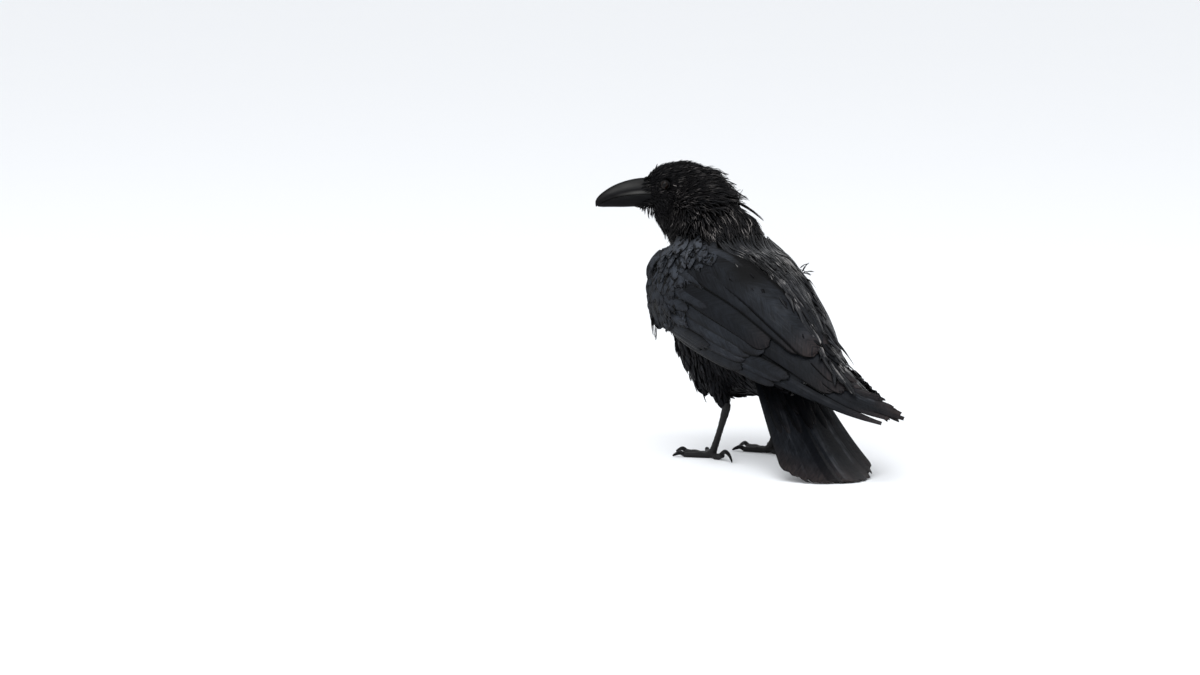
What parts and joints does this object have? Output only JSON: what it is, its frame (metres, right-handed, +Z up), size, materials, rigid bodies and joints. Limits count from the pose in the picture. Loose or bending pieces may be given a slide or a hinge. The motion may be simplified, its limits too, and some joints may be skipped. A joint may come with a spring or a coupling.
{
  "type": "raven",
  "caption": "Large black corvid standing still with folded wings, a heavy arched bill turned over its left shoulder, shaggy throat and nape, and a long fanned tail laid on the ground.",
  "frame": {"origin": "centre of the underside of the bird's box, at ground level", "axes": "+Z up, the breast faces -Y, the tail points to +Y and the bird's left side is +X"},
  "size_m": [0.1752, 0.4596, 0.337],
  "materials": {
    "plumage": "black feathers with a faint blue-grey sheen",
    "horn": "satin grey-black horn",
    "leg_scales": "dull black scaled skin",
    "eye": "wet dark brown"
  },
  "bodies": {
    "root": {"head": "plumage", "neck": "plumage", "trunk": "plumage", "wing_left": "plumage", "wing_right": "plumage", "tail": "plumage", "thigh_left": "plumage", "thigh_right": "plumage", "bill_upper": "horn", "bill_lower": "horn", "eye_left": "eye", "eye_right": "eye", "shank_left": "leg_scales", "shank_right": "leg_scales", "foot_left": "leg_scales", "foot_right": "leg_scales", "claw_middle_left": "horn", "claw_inner_left": "horn", "claw_outer_left": "horn", "claw_hind_left": "horn", "claw_middle_right": "horn", "claw_inner_right": "horn", "claw_outer_right": "horn", "claw_hind_right": "horn"}
  },
  "joints": []
}
